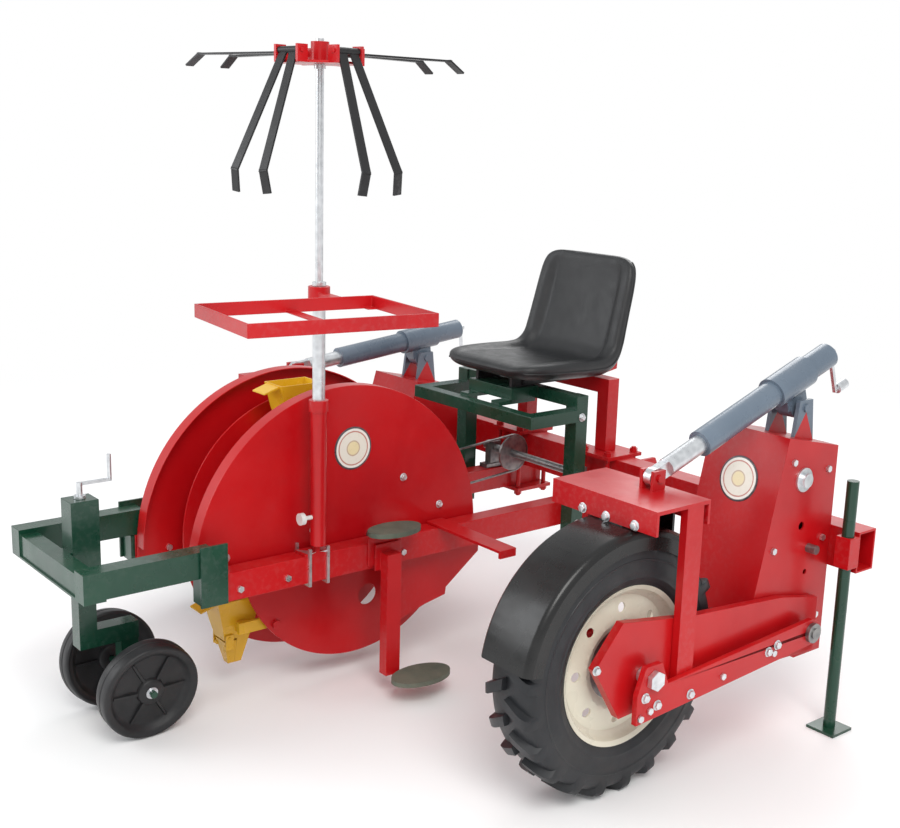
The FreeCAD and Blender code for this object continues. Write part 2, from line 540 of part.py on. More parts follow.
ct, cb = D("cup_top"), D("cup_tip")
for i, (y, z) in enumerate(pv):
    mv = Placement(V(0, y, z), Rotation())
    outer = loft([(ct, -48, 48, -75, 65), (5, -42, 42, -58, 48), (-44, -30, 30, -46, 36)])
    inner = loft([(ct + 1, -45, 45, -72, 62), (5, -39, 39, -55, 45), (-45, -27, 27, -43, 33)])
    beak_o = loft([(-43.9, -30, 30, -46, 36), (cb, -12, 12, -26, 18)])
    beak_i = loft([(-43, -27, 27, -43, 33), (cb + 6, -9, 9, -22, 14)])
    shell = outer.cut(inner)
    half_f = beak_o.cut(beak_i).common(Part.makeBox(80, 60, 120, V(-40, -4, -140)))
    half_r = beak_o.cut(beak_i).common(Part.makeBox(80, 60, 90, V(-40, -64.6, -140)))
    cup = shell.fuse(half_f)
    # pouring lip at the back and the arm to the second pivot
    lip = Part.makePolygon([V(-34, -74, ct), V(-34, -128, ct - 20), V(-34, -128, ct - 46), V(-34, -66, ct - 40), V(-34, -74, ct)])
    lip = Part.Face(Part.makePolygon([V(-34, -73, ct - 2), V(-34, -122, ct - 18), V(-34, -122, ct - 22), V(-34, -72, ct - 8), V(-34, -73, ct - 2)])).extrude(V(68, 0, 0))
    cup = cup.fuse(lip)
    boss = Part.makeCylinder(16, 118, V(-60, 0, 0), X)
    armb = Part.makeBox(12, 130, 34, V(60, -20, -17))
    armb = armb.fuse(Part.makeBox(26, 30, 30, V(36, -15, -15)))
    cup = cup.fuse(boss.cut(Part.makeCylinder(1, 1, V(500, 0, 0), X))).fuse(armb)
    inner_clear = inner.cut(Part.makeCylinder(13, 130, V(-65, 0, 0), X))
    cup = cup.cut(Part.makeCylinder(8 + FIT, 140, V(-70, 0, 0), X)).cut(Part.makeCylinder(12, 40, V(50, ro, 0), X))
    stub = Part.makeCylinder(4, 13, V(29, -34, -36), X).fuse(Part.makeCylinder(4, 13, V(-42, -34, -36), X))
    cup = cup.fuse(stub).removeSplitter()
    cup.Placement = mv
    node("cup_%d" % (i + 1), feature(cup))
    ear = Part.makeBox(4, 26, 46, V(36, -46, -72)).fuse(Part.makeBox(4, 26, 46, V(-40, -46, -72)))
    ear = ear.fuse(Part.makeBox(18, 20, 10, V(21, -44, -72))).fuse(Part.makeBox(18, 20, 10, V(-39, -44, -72)))
    jaw = half_r.fuse(ear).cut(Part.makeCylinder(4 + FIT, 100, V(-50, -34, -36), X)).removeSplitter()
    jaw.Placement = mv
    node("jaw_%d" % (i + 1), feature(jaw))

# ------------------------------------------------------------------ seat and its frame
sf = []
for side in (1, -1):
    sf.append(bx(side * 252, side * 302, 795, 845, 345, 830))
    sf.append(bx(side * 252, side * 302, 620, 795, 745, 785))
sf.append(bx(-302, 302, 600, 640, 745, 785))
sf.append(bx(-252, 252, 800, 840, 790, 830))
green = fuse(sf)
rails = [bx(side * 60, side * 100, 640, 800, 780, 794) for side in (1, -1)]
node("seat_frame", fuse([green] + rails + [bx(-110, 110, 685, 800, 794, 834)]))


def profile_x(x0, x1, pts):
    return plate_yz(x0, x1, pts)


pan = plate_yz(-235, 235, [(640, 884), (672, 868 + 16 * 28 / 300.0), (1000, 852), (1062, 868), (1092, 930), (1168, 1236), (1150, 1250), (1118, 1246), (1030, 960), (1000, 925), (672, 925), (644, 912)])
cheeks = [plate_yz(sd * 80, sd * 92, [(700, 834.4), (960, 834.4), (960, 868 - 16 * 260 / 300.0), (700, 868)]) for sd in (1, -1)]
node("seat", group([pan] + cheeks))

# ------------------------------------------------------------------ footrests
fr, pads_ = [], []
for side in (1, -1):
    end = 540 if side > 0 else 425
    fr.append(fuse([bx(side * 192, side * end, 280, 342, bz1, bz1 + 8), bx(side * (end - 8), side * end, 280, 342, bz1 - 16, bz1)]))
    # upper pad bracket on the beam
    fr.append(fuse([bx(side * 250, side * 256, 20, 140, 400, 505), bx(side * 250, side * 330, 50, 110, 500, 508)]))
    # lower post and the tray under its pad
    fr.append(fuse([bx(side * 257, side * 265, 40, 130, 385, 465), bx(side * 265, side * 300, 58, 108, 62, 440), bx(side * 265, side * 350, 90, 120, 54, 62)]))
    for (px, py, pz, rx, ry) in ((side * 300, 80, 508, 52, 88), (side * 364, 140, 62, 60, 100)):
        e = doc.addObject("Part::Cylinder", uid("Pad"))
        e.Radius, e.Height = 10, 14
        pads_.append((e, px, py, pz, rx, ry))
solid = []
for e, px, py, pz, rx, ry in pads_:
    doc.removeObject(e.Name)
    el = Part.Ellipse(V(px, py + ry, pz), V(px + rx, py, pz), V(px, py, pz)) if ry > rx else Part.Ellipse(V(px + rx, py, pz), V(px, py + ry, pz), V(px, py, pz))
    solid.append(feature(Part.Face(Part.Wire(el.toShape())).extrude(V(0, 0, 14))))
node("footrests", group(fr))
node("foot_pads", group(solid))

# ------------------------------------------------------------------ mast, tray rack and carousel
mx, my = D("mast_side"), D("mast_along")
mt, mr = D("mast_tube_radius"), D("mast_rod_radius")
sock = fuse([cyl((mx, my, 500), (0, 0, 1), 22.5, 418), bx(mx - 50, mx + 4, my - 45, my + 45, bz1, bz1 + 8), bx(mx - 14, mx + 8, my - 6, my + 6, bz1 + 8, 560),
             cyl((mx, my, 886), (0, 0, 1), 27, 32)])
sock = cut(sock, [cyl((mx, my, 520), (0, 0, 1), mt, 420)])
knob = fuse([cyl((mx, my - 20, 584), (0, -1, 0), 6, 30), cyl((mx, my - 48, 584), (0, -1, 0), 17, 14)])
knob = cut(knob, [cyl((mx, my, 540), (0, 0, 1), mt, 100)])
ub = []
for yy in (my - 30, my + 30):
    ub.append(fuse([bx(bi - 9, bo + 9, yy - 4, yy + 4, bz0 - 9, bz0 - 0.2), bx(bi - 9, bi - 0.2, yy - 4, yy + 4, bz0 - 9, bz1 + 22), bx(bo + 0.2, bo + 9, yy - 4, yy + 4, bz0 - 9, bz1 + 22)]))
node("mast_socket", group([cut(fuse([sock, knob]), [bx(bi - 9.2, bi - 0.1, my - 36, my + 36, bz1 - 10, bz1 + 30), bx(bo + 0.1, bo + 9.2, my - 36, my + 36, bz1 - 2, bz1 + 30)])] + ub))
node("mast_tube", cut(cyl((mx, my, 520), (0, 0, 1), mt, 670), [cyl((mx, my, 500), (0, 0, 1), mr + FIT, 720)]))
hub_z = D("hub_high")
node("mast_rod", fuse([cyl((mx, my, 560), (0, 0, 1), mr, hub_z + 34 - 560, {"Radius": "Dims.mast_rod_radius"}), cyl((mx, my, hub_z - 42), (0, 0, 1), 15, 10), cyl((mx, my, 1233), (0, 0, 1), 19, 10)]))
hb = fuse([cyl((mx, my, hub_z - 30), (0, 0, 1), 24, 56), cyl((mx, my, hub_z - 30), (0, 0, 1), 96, 6)])
HA = [9, 99, 189, 279]
for a in HA:
    r = math.radians(a)
    for o in (-46, 38):
        lug = bx(mx + 82, mx + 116, my + o, my + o + 8, hub_z - 30, hub_z + 14)
        hb = fuse([hb, tilt(lug, (0, 0, 1), a, (mx, my, 0))])
pinh = []
for a in HA:
    c = cyl((mx + 104, my - 50, hub_z), (0, 1, 0), 5, 100)
    pinh.append(tilt(c, (0, 0, 1), a, (mx, my, 0)))
hb = fuse([hb] + pinh)
node("carousel_hub", cut(hb, [cyl((mx, my, hub_z - 60), (0, 0, 1), mr + FIT, 120)]))
for i, a in enumerate(HA):
    down = a in (9, 279)
    pcs = []
    for sgn in (1, -1):
        c0 = sgn * 19
        st = bx(mx + 96, mx + 436, my + c0 - 14, my + c0 + 14, hub_z - 2.5, hub_z + 2.5)
        st = tilt(st, (0, 0, 1), sgn * 6.5, (mx + 104, my + c0, hub_z))
        e = (mx + 104 + 328 * math.cos(math.radians(6.5)), my + c0 + sgn * 328 * math.sin(math.radians(6.5)))
        ft = tilt(bx(e[0] - 3, e[0] + 58, e[1] - 14, e[1] + 14, hub_z - 2.5, hub_z + 2.5), (0, 1, 0), 32, (e[0], e[1], hub_z))
        ft = tilt(ft, (0, 0, 1), sgn * 6.5, (e[0], e[1], 0))
        pcs += [st, ft]
    pcs.append(cyl((mx + 104, my - 37.6, hub_z), (0, 1, 0), 9, 75.2))
    h = cut(fuse(pcs), [cyl((mx + 104, my - 60, hub_z), (0, 1, 0), 5 + FIT, 120)])
    # two holders hang folded, two stand out level
    if down:
        h = cut(h, [bx(0, 1, 0, 1, 0, 1)])
        f = doc.addObject("Part::Feature", uid("Holder"))
        doc.recompute()
        sh = h.Shape.copy()
        sh.rotate(V(mx + 104, my, hub_z), V(0, 1, 0), 66)
        sh.rotate(V(mx, my, 0), V(0, 0, 1), a)
        f.Shape = sh
        h = f
    else:
        f = doc.addObject("Part::Feature", uid("Holder"))
        doc.recompute()
        sh = h.Shape.copy()
        sh.rotate(V(mx, my, 0), V(0, 0, 1), a)
        f.Shape = sh
        h = f
    node("tray_holder_%d" % (i + 1), h)

rz, sp = D("rack_high") + 14, D("rack_span")
rx0, ry0 = mx + 140, my - 400
rx1, ry1 = rx0 + 349, ry0 + sp
rk = [bx(rx0, rx1, ry0, ry0 + 6, rz - 17, rz + 17), bx(rx0, rx1, ry1 - 6, ry1, rz - 17, rz + 17),
      bx(rx0, rx0 + 6, ry0, ry1, rz - 17, rz + 17), bx(rx1 - 6, rx1, ry0, ry1, rz - 17, rz + 17),
      bx(rx0 + 6, rx1 - 6, ry0 + 240, ry0 + 270, rz - 17, rz - 12)]
for (cx_, cy_) in ((rx0, ry0), (rx1 - 30, ry0), (rx0, ry1 - 30), (rx1 - 30, ry1 - 30)):
    rk.append(bx(cx_, cx_ + 30, cy_, cy_ + 30, rz - 17, rz - 12))
rk.append(cyl((mx, my, rz - 12), (0, 0, 1), 30, 40))
rk.append(bx(mx + 20, rx0 + 6, my - 15, my + 15, rz - 12, rz + 12))
rack = cut(fuse(rk), [cyl((mx, my, rz - 40), (0, 0, 1), mr + 0.4, 120)])
doc.recompute()
sh = rack.Shape.copy()
sh.rotate(V(mx, my, 0), V(0, 0, 1), -8)
node("tray_rack", feature(sh))

# ------------------------------------------------------------------ stands
for (nm, (sx, sy, sz)) in zip(("near", "far"), STANDS):
    node(nm + "_stand", fuse([cyl((sx, sy, 5), (0, 0, 1), SR, sz - 5, {"Radius": "Dims.stand_radius"}), bx(sx - 45, sx + 45, sy - 45, sy + 45, 0, 8)]))

# ------------------------------------------------------------------ press wheels at the back
rear = []
for side in (1, -1):
    rear.append(bx(side * 192, side * 248, -840, -470, bz1 + 2, bz1 + 76))
rear.append(bx(-248, 248, -840, -780, bz1 - 4, bz1 + 2))
rear.append(bx(-192, 192, -835, -785, bz1 + 2, bz1 + 62))
sleeve = bx(-34, 34, -779, -701, bz1 - 2, bz1 + 200)
rear.append(sleeve)
rear.append(bx(-26, 26, -785, -779, bz1 + 2, bz1 + 62))
gframe = cut(fuse(rear), [bx(-25.1, 25.1, -765.1, -714.9, bz1 - 20, bz1 + 192), cyl((0, -740, bz1 + 150), (0, 0, 1), 8 + FIT, 80)])
feet = [bx(side * 250, side * 258, -520, -440, bz0, bz1 + 90) for side in (1, -1)]
feet += [bx(side * 194, side * 246, -512, -500, bz0, bz1 - 0.5) for side in (1, -1)]
node("rear_frame", group([gframe] + feet))
pp, pa, ps_, cam_ = D("press_radius"), D("press_along"), D("press_side"), math.radians(D("press_camber"))
car = [bx(-25, 25, -765, -715, 250, bz1 + 120), bx(-25, 25, -715, -595, 250, 300), bx(-20, 20, -645, -595, 130, 250)]
car.append(cyl((0, 0, 0), (0, 0, 1), 5, 5))
doc.removeObject(car.pop().Name)
hubz = pp * math.cos(cam_) + (D("press_half") - 10) * math.sin(cam_)
ax = []
for side in (1, -1):
    d = (side * math.cos(cam_), 0, -side * 0 - math.sin(cam_))
    st = (side * (ps_ - 96 * math.cos(cam_)), pa, hubz + math.sin(cam_) * 96)
    ax.append(cyl(st, d, 10, 96 + 40))
car += [bx(-48, 48, pa - 18, pa + 18, hubz - 2, hubz + 34)]
node("press_carriage", fuse(car + ax))
for side, nm in ((1, "near"), (-1, "far")):
    h_ = D("press_half")
    b, sk, rev = revolve_x([(-h_ + 6, pp - 18), (-h_ + 2, pp - 6), (-h_ + 10, pp - 1), (h_ - 10, pp), (h_ - 2, pp - 6), (h_ - 6, pp - 18), (h_ - 10, pp - 22), (10, pp - 30), (8, 40), (24, 34), (24, 10.05), (-24, 10.05), (-24, 34), (-8, 40), (-10, pp - 30), (-h_ + 10, pp - 22)], 0, 0)
    doc.recompute()
    sh = b.Shape.copy()
    sh.rotate(V(0, 0, 0), V(0, 1, 0), side * math.degrees(cam_))
    sh.translate(V(side * ps_, pa, hubz))
    node(nm + "_press_wheel", feature(sh))
zc = bz1 + 200
screw = fuse([cyl((0, -740, bz1 + 183), (0, 0, 1), 8, 61), cyl((0, -740, zc + 1), (0, 0, 1), 16, 8), bx(-5, 5, -740, -650, zc + 36, zc + 44), cyl((0, -655, zc + 40), (0, 0, 1), 6, 70)])
node("press_crank", screw)

# ------------------------------------------------------------------ checks and export
doc.recompute()
bad = [o.Name for o in doc.Objects if "Invalid" in o.State or "Error" in o.State]
if bad:
    raise SystemExit("failed objects: %s" % bad)
box = FreeCAD.BoundBox()
for name, obj in NODES:
    sh = obj.Shape
    if sh.isNull() or not sh.isValid() or not sh.Solids:
        raise SystemExit("bad shape: " + name)
    box.add(sh.BoundBox)
    print("%-18s solids %2d  volume %9.1f cm3" % (name, len(sh.Solids), sh.Volume / 1000))
print("box", [round(v, 2) for v in (box.XMin, box.XMax, box.YMin, box.YMax, box.ZMin, box.ZMax)])
print("centre", round((box.XMin + box.XMax) / 2, 3), round((box.YMin + box.YMax) / 2, 3), "nodes", len(NODES))
for name, obj in NODES:
    obj.Shape.exportStep("parts/" + name + ".step")
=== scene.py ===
"""Visual model of the transplanter row unit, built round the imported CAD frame."""
import bpy
import bmesh
import json
import math
from mathutils import Matrix, Vector

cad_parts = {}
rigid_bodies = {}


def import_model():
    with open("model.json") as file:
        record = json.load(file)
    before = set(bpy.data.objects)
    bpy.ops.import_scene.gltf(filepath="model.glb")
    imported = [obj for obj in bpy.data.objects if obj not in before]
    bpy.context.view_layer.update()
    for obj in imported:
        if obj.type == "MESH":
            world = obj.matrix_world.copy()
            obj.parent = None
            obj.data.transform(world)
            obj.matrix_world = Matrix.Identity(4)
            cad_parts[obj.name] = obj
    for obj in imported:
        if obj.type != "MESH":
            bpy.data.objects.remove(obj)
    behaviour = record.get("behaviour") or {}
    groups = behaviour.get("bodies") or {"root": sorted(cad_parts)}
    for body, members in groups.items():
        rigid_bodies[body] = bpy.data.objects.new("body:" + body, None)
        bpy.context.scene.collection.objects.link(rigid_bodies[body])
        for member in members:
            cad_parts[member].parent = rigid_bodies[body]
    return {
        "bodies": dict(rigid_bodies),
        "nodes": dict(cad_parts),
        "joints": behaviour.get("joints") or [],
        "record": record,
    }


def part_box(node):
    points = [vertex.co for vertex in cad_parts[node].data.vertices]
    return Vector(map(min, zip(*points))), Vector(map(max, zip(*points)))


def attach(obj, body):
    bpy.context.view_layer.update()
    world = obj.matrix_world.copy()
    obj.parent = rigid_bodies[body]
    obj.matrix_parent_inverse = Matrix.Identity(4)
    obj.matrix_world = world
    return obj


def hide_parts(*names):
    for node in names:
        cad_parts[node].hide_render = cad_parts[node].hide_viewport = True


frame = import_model()
NODES, BODIES, REC = frame["nodes"], frame["bodies"], frame["record"]
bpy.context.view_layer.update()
scn = bpy.context.scene


# ---------------------------------------------------------------- camera, light, floor
def camera():
    a, e, ro = math.radians(51.1), math.radians(12.73), math.radians(1.57)
    r = Vector((math.cos(a), math.sin(a), 0))
    f = Vector((-math.sin(a) * math.cos(e), math.cos(a) * math.cos(e), -math.sin(e)))
    up = r.cross(f)
    R = r * math.cos(ro) + up * math.sin(ro)
    U = up * math.cos(ro) - r * math.sin(ro)
    cd = bpy.data.cameras.new("camera")
    cd.lens, cd.sensor_width, cd.clip_end = 50.48, 36.0, 200
    co = bpy.data.objects.new("camera", cd)
    m = Matrix((R, U, -f)).transposed().to_4x4()
    m.translation = Vector((2.953, -2.2075, 1.655))
    co.matrix_world = m
    scn.collection.objects.link(co)
    scn.camera = co


def area(name, loc, target, size, power, colour=(1, 1, 1)):
    ld = bpy.data.lights.new(name, "AREA")
    ld.shape, ld.size, ld.energy, ld.color = "DISK", size, power, colour
    lo = bpy.data.objects.new(name, ld)
    lo.location = loc
    lo.rotation_euler = (Vector(target) - Vector(loc)).to_track_quat("-Z", "Y").to_euler()
    scn.collection.objects.link(lo)


camera()
area("key", (4.2, -2.2, 5.2), (0, 0, 0.5), 3.5, 215, (1, 0.985, 0.96))
area("fill", (-3.6, -5.2, 3.2), (0, 0, 0.6), 4.0, 120, (0.96, 0.98, 1))
area("back", (-2.5, 5.0, 4.5), (0, 0, 0.6), 4.0, 130)
wd = bpy.data.worlds.new("studio")
scn.world = wd
wd.use_nodes = True
bg = wd.node_tree.nodes["Background"]
bg.inputs[0].default_value = (0.93, 0.94, 0.95, 1)
bg.inputs[1].default_value = 0.78
# the lens sees plain white behind the machine, the light on it stays softer
white = wd.node_tree.nodes.new("ShaderNodeBackground")
white.inputs[0].default_value = (1, 1, 1, 1)
white.inputs[1].default_value = 1.0
path = wd.node_tree.nodes.new("ShaderNodeLightPath")
both = wd.node_tree.nodes.new("ShaderNodeMixShader")
wd.node_tree.links.new(path.outputs["Is Camera Ray"], both.inputs[0])
wd.node_tree.links.new(bg.outputs[0], both.inputs[1])
wd.node_tree.links.new(white.outputs[0], both.inputs[2])
wd.node_tree.links.new(both.outputs[0], wd.node_tree.nodes["World Output"].inputs[0])
scn.view_settings.view_transform = "Standard"
scn.view_settings.look = "None"


# ---------------------------------------------------------------- materials
class Mat:
    """A node material built step by step."""

    def __init__(self, name, rough=0.4, metal=0.0, coat=0.0, coat_rough=0.05, spec=0.5):
        self.m = bpy.data.materials.new(name)
        self.m.use_nodes = True
        self.t = self.m.node_tree
        self.b = self.t.nodes["Principled BSDF"]
        self.b.inputs["Metallic"].default_value = metal
        self.b.inputs["Roughness"].default_value = rough
        self.b.inputs["Coat Weight"].default_value = coat
        self.b.inputs["Coat Roughness"].default_value = coat_rough
        self.b.inputs["Specular IOR Level"].default_value = spec
        self.co = self.n("ShaderNodeTexCoord").outputs["Object"]

    def n(self, kind, **kw):
        nd = self.t.nodes.new(kind)
        for k, v in kw.items():
            setattr(nd, k, v)
        return nd

    def l(self, a, b):
        self.t.links.new(a, b)

    def noise(self, scale, detail=3.0, rough=0.55, stretch=None):
        nd = self.n("ShaderNodeTexNoise")
        nd.inputs["Scale"].default_value = scale
        nd.inputs["Detail"].default_value = detail
        nd.inputs["Roughness"].default_value = rough
        src = self.co
        if stretch:
            mp = self.n("ShaderNodeMapping")
            mp.inputs["Scale"].default_value = stretch
            self.l(src, mp.inputs[0])
            src = mp.outputs[0]
        self.l(src, nd.inputs["Vector"])
        return nd.outputs["Fac"]

    def voronoi(self, scale, feature="F1"):
        nd = self.n("ShaderNodeTexVoronoi", feature=feature)
        nd.inputs["Scale"].default_value = scale
        self.l(self.co, nd.inputs["Vector"])
        return nd.outputs["Distance"]

    def ramp(self, fac, stops):
        nd = self.n("ShaderNodeValToRGB")
        el = nd.color_ramp.elements
        while len(el) < len(stops):
            el.new(0.5)
        for e, (p, c) in zip(el, stops):
            e.position = p
            e.color = (*c, 1) if len(c) == 3 else c
        self.l(fac, nd.inputs[0])
        return nd.outputs["Color"]

    def mix(self, fac, a, b, blend="MIX"):
        nd = self.n("ShaderNodeMix", data_type="RGBA", blend_type=blend)
        for s, v in ((nd.inputs[0], fac), (nd.inputs[6], a), (nd.inputs[7], b)):
            if isinstance(v, (int, float)):
                s.default_value = v
            elif isinstance(v, tuple):
                s.default_value = (*v, 1)
            else:
                self.l(v, s)
        return nd.outputs[2]

    def rng(self, fac, a, b, lo=0.0, hi=1.0):
        nd = self.n("ShaderNodeMapRange")
        nd.inputs["From Min"].default_value, nd.inputs["From Max"].default_value = lo, hi
        nd.inputs["To Min"].default_value, nd.inputs["To Max"].default_value = a, b
        self.l(fac, nd.inputs[0])
        return nd.outputs[0]

    def add(self, a, b, op="ADD"):
        nd = self.n("ShaderNodeMath", operation=op)
        for s, v in ((nd.inputs[0], a), (nd.inputs[1], b)):
            if isinstance(v, (int, float)):
                s.default_value = v
            else:
                self.l(v, s)
        return nd.outputs[0]

    def colour(self, c):
        self.l(c, self.b.inputs["Base Color"])

    def rough(self, r):
        self.l(r, self.b.inputs["Roughness"])

    def bump(self, h, strength, dist):
        nd = self.n("ShaderNodeBump")
        nd.inputs["Strength"].default_value = strength
        nd.inputs["Distance"].default_value = dist
        self.l(h, nd.inputs["Height"])
        self.l(nd.outputs[0], self.b.inputs["Normal"])
        return nd


def paint(name, light, mid, dark, rough=(0.22, 0.38), coat=0.35, dust=(0.45, 0.36, 0.27), worn=(0.30, 0.30, 0.30)):
    m = Mat(name, coat=coat, coat_rough=0.15, spec=0.32)
    big = m.noise(2.3, 4)
    fine = m.noise(38, 5, 0.65)
    c = m.ramp(big, [(0.2, dark), (0.5, mid), (0.8, light)])
    c = m.mix(m.rng(fine, 0.0, 0.08, 0.35, 0.75), c, dark)
    geo = m.n("ShaderNodeNewGeometry")
    # worn edges: thin lighter line broken up by noise
    edge = m.rng(geo.outputs["Pointiness"], 0.0, 1.0, 0.53, 0.62)
    edge = m.add(edge, m.rng(m.noise(70, 3), 0.0, 1.0, 0.48, 0.66), "MULTIPLY")
    c = m.mix(m.add(edge, 0.12, "MULTIPLY"), c, worn)
    # a little dust on what faces up, patchy by noise
    sep = m.n("ShaderNodeSeparateXYZ")
    m.l(geo.outputs["Normal"], sep.inputs[0])
    up = m.rng(sep.outputs["Z"], 0.0, 1.0, 0.35, 1.0)
    dn = m.add(up, m.rng(m.noise(9, 6, 0.7), 0.0, 0.05, 0.45, 0.75), "MULTIPLY")
    c = m.mix(dn, c, dust)
    m.colour(c)
    m.rough(m.rng(m.noise(14, 4), rough[0], rough[1], 0.3, 0.7))
    m.bump(m.add(m.noise(240, 2), m.add(m.noise(22, 2), 1.5, "MULTIPLY")), 0.10, 0.0006)
    return m.m


def metal(name, a, b, rough=(0.25, 0.42), spangle=60, aniso=None):
    m = Mat(name, metal=0.92)
    v = m.voronoi(spangle)
    c = m.ramp(v, [(0.1, a), (0.9, b)])
    c = m.mix(m.rng(m.noise(6, 5), 0.0, 0.35, 0.5, 0.8), c, tuple(x * 0.55 for x in b))
    m.colour(c)
    m.rough(m.rng(m.noise(30, 5, 0.7, aniso), rough[0], rough[1], 0.3, 0.7))
    m.bump(m.noise(160, 3, 0.6, aniso), 0.12, 0.0005)
    return m.m


def rubber(name, a, b, rough=(0.38, 0.55), grain=260, bump=0.25, dust=0.12):
    m = Mat(name, spec=0.45)
    c = m.ramp(m.noise(7, 5, 0.6), [(0.35, a), (0.7, b)])
    c = m.mix(m.rng(m.noise(3.2, 6, 0.7), 0.0, dust, 0.5, 0.75), c, (0.30, 0.26, 0.21))
    m.colour(c)
    m.rough(m.rng(m.noise(18, 4), rough[0], rough[1], 0.3, 0.7))
    m.bump(m.add(m.noise(grain, 2), m.voronoi(grain * 0.8)), bump, 0.0005)
    return m.m


def vinyl():
    m = Mat("seat_vinyl_grain", spec=0.5, coat=0.08, coat_rough=0.35)
    c = m.ramp(m.noise(5, 4), [(0.3, (0.008, 0.009, 0.010)), (0.7, (0.016, 0.017, 0.019))])
    m.colour(c)
    m.rough(m.rng(m.noise(26, 4), 0.34, 0.50, 0.3, 0.7))
    cell = m.voronoi(420, "DISTANCE_TO_EDGE")
    m.bump(m.add(m.rng(cell, 0.0, 1.0, 0.0, 0.12), m.noise(120, 3)), 0.30, 0.0006)
    return m.m


MAT = {
    "red_paint": paint("red_enamel", (0.58, 0.006, 0.008), (0.50, 0.004, 0.007), (0.37, 0.002, 0.006), rough=(0.28, 0.42), coat=0.2),
    "green_paint": paint("green_enamel", (0.012, 0.075, 0.040), (0.007, 0.048, 0.027), (0.004, 0.028, 0.017), coat=0.4),
    "cup_yellow": paint("ochre_enamel", (0.86, 0.56, 0.03), (0.76, 0.44, 0.02), (0.55, 0.28, 0.01), coat=0.25),
    "rim_cream": paint("cream_enamel", (0.82, 0.79, 0.66), (0.74, 0.71, 0.58), (0.58, 0.55, 0.45), coat=0.2),
    "jack_grey": paint("blue_grey_enamel", (0.18, 0.23, 0.29), (0.13, 0.17, 0.22), (0.08, 0.11, 0.15), coat=0.4),
    "strap_black": paint("black_powder_coat", (0.020, 0.021, 0.022), (0.012, 0.012, 0.013), (0.006, 0.006, 0.007), rough=(0.32, 0.48), coat=0.1, dust=(0.12, 0.11, 0.10)),
    "galvanised": metal("zinc_plate", (0.62, 0.64, 0.66), (0.80, 0.82, 0.84)),
    "steel": metal("oiled_steel", (0.20, 0.20, 0.21), (0.34, 0.33, 0.32), (0.28, 0.5)),
    "tyre_rubber": rubber("tyre_compound", (0.009, 0.010, 0.012), (0.019, 0.021, 0.025), dust=0.05),
    "press_rubber": rubber("press_wheel_rubber", (0.008, 0.008, 0.009), (0.016, 0.016, 0.018), dust=0.05),
    "pad_rubber": rubber("ribbed_pad", (0.065, 0.085, 0.065), (0.13, 0.15, 0.11), (0.55, 0.75), 90, 0.5, 0.3),
    "black_plastic": rubber("gloss_black_moulding", (0.006, 0.006, 0.006), (0.013, 0.013, 0.013), (0.22, 0.34), 400, 0.06, 0.03),
    "seat_vinyl": vinyl(),
}
dark_red = paint("dark_red_knob", (0.36, 0.012, 0.012), (0.26, 0.006, 0.008), (0.17, 0.003, 0.005), coat=0.2)
white_plastic = paint("white_nylon", (0.82, 0.82, 0.80), (0.74, 0.74, 0.72), (0.60, 0.60, 0.58), coat=0.1)
slot_of = {s["node"]: s["material_slot"] for s in REC["subparts"]}


def use(o, *mats):
    o.data.materials.clear()
    for m in mats:
        o.data.materials.append(m)


def faces_by(o, test, index):
    """Gives the faces whose centre passes the test another of the object's materials."""
    for p in o.data.polygons:
        if test(p.center, p.normal):
            p.material_index = index


def soften(o, width=0.0016, angle=38):
    """Welds the split corners and rolls the hard edges, as modifiers only."""
    w = o.modifiers.new("weld", "WELD")
    w.merge_threshold = 0.00002
    b = o.modifiers.new("edges", "BEVEL")
    b.width, b.segments, b.limit_method, b.angle_limit = width, 2, "ANGLE", math.radians(angle)
    b.use_clamp_overlap = True
    b.harden_normals = False
    b.miter_outer = "MITER_ARC"
    e = o.modifiers.new("normals", "WEIGHTED_NORMAL")
    e.keep_sharp = True
    e.weight = 60


for name, o in NODES.items():
    use(o, MAT[slot_of[name]])


# ---------------------------------------------------------------- mesh helpers
def obj(name, bm, mat, body, smooth=True, bevel=None):
    me = bpy.data.meshes.new(name)
    bm.normal_update()
    bm.to_mesh(me)
    bm.free()
    o = bpy.data.objects.new(name, me)
    scn.collection.objects.link(o)
    for m in (mat if isinstance(mat, (list, tuple)) else [mat]):
        me.materials.append(m)
    if smooth:
        for p in me.polygons:
            p.use_smooth = True
    if bevel:
        b = o.modifiers.new("edges", "BEVEL")
        b.width, b.segments, b.limit_method, b.angle_limit = bevel, 2, "ANGLE", math.radians(35)
        me.set_sharp_from_angle(angle=math.radians(40))
    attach(o, body)
    return o


def frame_of(axis):
    z = Vector(axis).normalized()
    h = Vector((0, 0, 1)) if abs(z.z) < 0.9 else Vector((1, 0, 0))
    x = h.cross(z).normalized()
    return x, z.cross(x), z


def lathe(bm, origin, axis, prof, seg=64, closed=False):
    """Spins (along, radius) pairs round an axis. Radius 0 closes the end."""
    x, y, z = frame_of(axis)
    o = Vector(origin)
    rings = []
    for s, r in prof:
        if r < 1e-7:
            rings.append([bm.verts.new(o + z * s)])
        else:
            rings.append([bm.verts.new(o + z * s + (x * math.cos(t) + y * math.sin(t)) * r) for t in (2 * math.pi * k / seg for k in range(seg))])
    pairs = list(zip(rings, rings[1:])) + ([(rings[-1], rings[0])] if closed else [])
    for a, b in pairs:
        for k in range(seg):
            j = (k + 1) % seg
            va = [a[0]] if len(a) == 1 else [a[k], a[j]]
            vb = [b[0]] if len(b) == 1 else [b[j], b[k]]
            if len(va) + len(vb) >= 3:
                bm.faces.new(va + vb)


